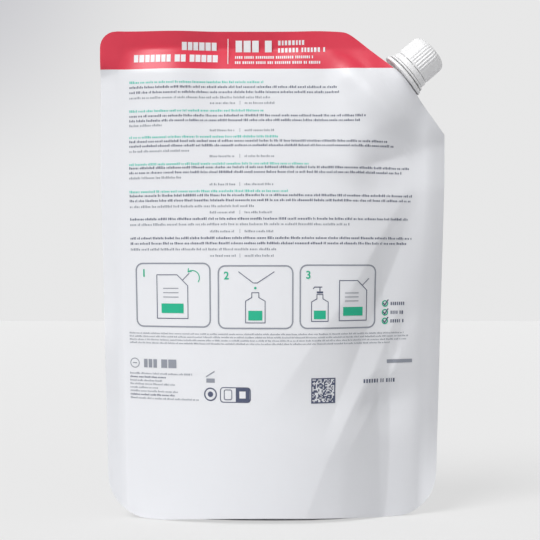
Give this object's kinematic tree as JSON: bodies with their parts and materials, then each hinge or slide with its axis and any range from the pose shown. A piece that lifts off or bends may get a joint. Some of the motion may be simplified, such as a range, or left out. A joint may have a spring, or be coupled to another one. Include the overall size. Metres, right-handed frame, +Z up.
{
  "type": "spouted stand-up refill pouch",
  "caption": "Filled stand-up film pouch with a welded spout in its upper corner, a tamper band and a screw cap that unscrews and lifts off.",
  "frame": {"origin": "on the floor, under the middle of the pouch", "axes": "+Z up, +X towards the side that carries the spout, -Y out of the text side"},
  "size_m": [0.153, 0.0414, 0.2153],
  "materials": {
    "film": "laminated film, off-white, soft gloss",
    "spout_plastic": "moulded polyethylene, natural white, satin",
    "band_plastic": "moulded polyethylene, natural white, satin",
    "cap_plastic": "moulded polyethylene, natural white, satin"
  },
  "bodies": {
    "root": {"pouch": "film", "spout_fitment": "spout_plastic"},
    "band": {"tamper_band": "band_plastic"},
    "cap": {"screw_cap": "cap_plastic"}
  },
  "joints": [
    {"name": "cap_turn", "type": "hinge", "parent": "root", "child": "band", "pos_m": [0.05717, 0, 0.19486], "axis": [0.7567, 0, 0.6538], "range_deg": [0, 810]},
    {"name": "cap_lift", "type": "slide", "parent": "band", "child": "cap", "axis": [0.7567, 0, 0.6538], "range_m": [0, 0.0136]}
  ],
  "couplings": [
    {"joint": "cap_lift", "follows": "cap_turn", "m_per_rad": 0.00095493}
  ]
}
